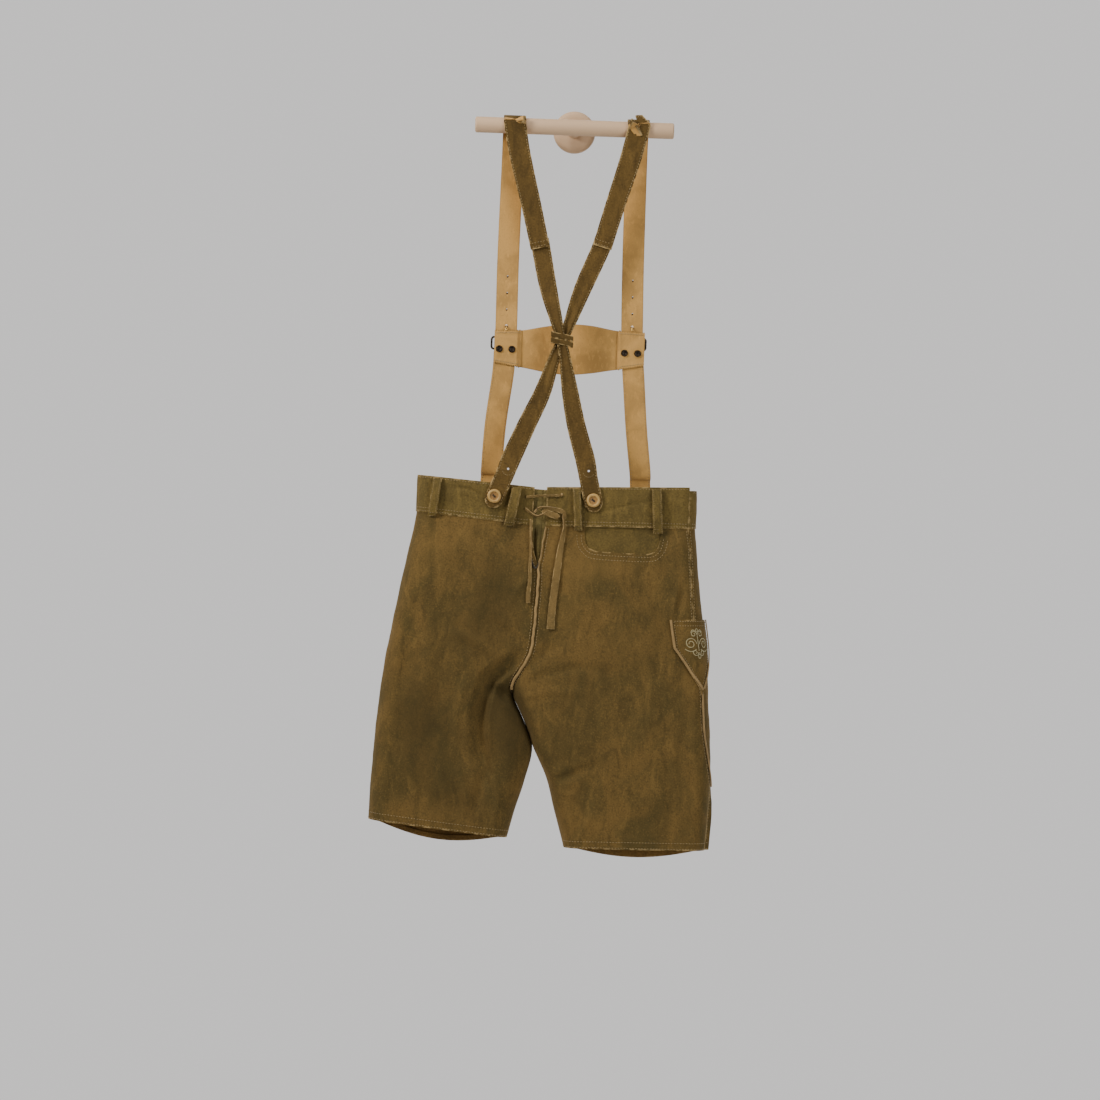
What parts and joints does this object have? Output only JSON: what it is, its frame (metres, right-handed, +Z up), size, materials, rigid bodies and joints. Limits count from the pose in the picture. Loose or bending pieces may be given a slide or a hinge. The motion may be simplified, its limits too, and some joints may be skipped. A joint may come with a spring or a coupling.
{
  "type": "lederhosen hung by their braces on a wall rail",
  "caption": "Short suede lederhosen with crossed back braces, chest bar and laced back vent, hung flat and open-ended by the braces on a plain beech wall rail.",
  "frame": {"origin": "centre of the wall plate's back face, on the wall, level with the rail's bar", "axes": "+X to the right as seen from behind the garment, +Y into the wall, +Z up; the garment's back faces -Y"},
  "size_m": [0.5155, 0.121, 1.1305],
  "materials": {
    "suede": "olive brown suede with a soft cloudy nap",
    "waistband_suede": "lighter olive brown suede",
    "facing_suede": "olive brown suede, smoother",
    "strap_suede": "olive brown suede, stitched edges",
    "flesh_side": "tan, napped flesh side",
    "beige_leather": "light beige, matt",
    "bone": "turned horn, satin",
    "brass_wire": "aged, satin",
    "antique_metal": "dark antique, satin",
    "beech": "turned beech, oiled"
  },
  "bodies": {
    "root": {"back_gusset": "facing_suede", "back_left_panel": "suede", "back_pocket_facing": "facing_suede", "back_right_panel": "suede", "belt_loop_1": "waistband_suede", "belt_loop_2": "waistband_suede", "belt_loop_3": "waistband_suede", "belt_loop_4": "waistband_suede", "belt_loop_front_left": "waistband_suede", "belt_loop_front_right": "waistband_suede", "buckle_left": "brass_wire", "buckle_right": "brass_wire", "button_back_from_left": "bone", "button_back_from_right": "bone", "button_lower_left": "bone", "button_lower_right": "bone", "chest_bar": "flesh_side", "chest_tab_left": "flesh_side", "chest_tab_right": "flesh_side", "fall_button_left": "bone", "fall_button_right": "bone", "fall_flap": "suede", "front_left_panel": "suede", "front_right_panel": "suede", "keeper": "strap_suede", "knife_pocket": "suede", "knife_pocket_piping_back": "beige_leather", "knife_pocket_piping_front": "beige_leather", "lace_bar": "beige_leather", "lace_bow": "beige_leather", "lace_tail_left": "beige_leather", "lace_tail_right": "beige_leather", "prong_left": "brass_wire", "prong_right": "brass_wire", "rail_bar": "beech", "rail_stem": "beech", "seat_piping": "beige_leather", "side_piping_left": "beige_leather", "side_piping_right": "beige_leather", "strap_back_from_left": "strap_suede", "strap_back_from_right": "strap_suede", "strap_lower_left": "flesh_side", "strap_lower_right": "flesh_side", "strap_upper_left": "flesh_side", "strap_upper_right": "flesh_side", "stud_left_1": "antique_metal", "stud_left_2": "antique_metal", "stud_right_1": "antique_metal", "stud_right_2": "antique_metal", "waistband_back_left": "waistband_suede", "waistband_back_right": "waistband_suede", "waistband_front_left": "waistband_suede", "waistband_front_right": "waistband_suede", "wall_plate": "beech"}
  },
  "joints": []
}
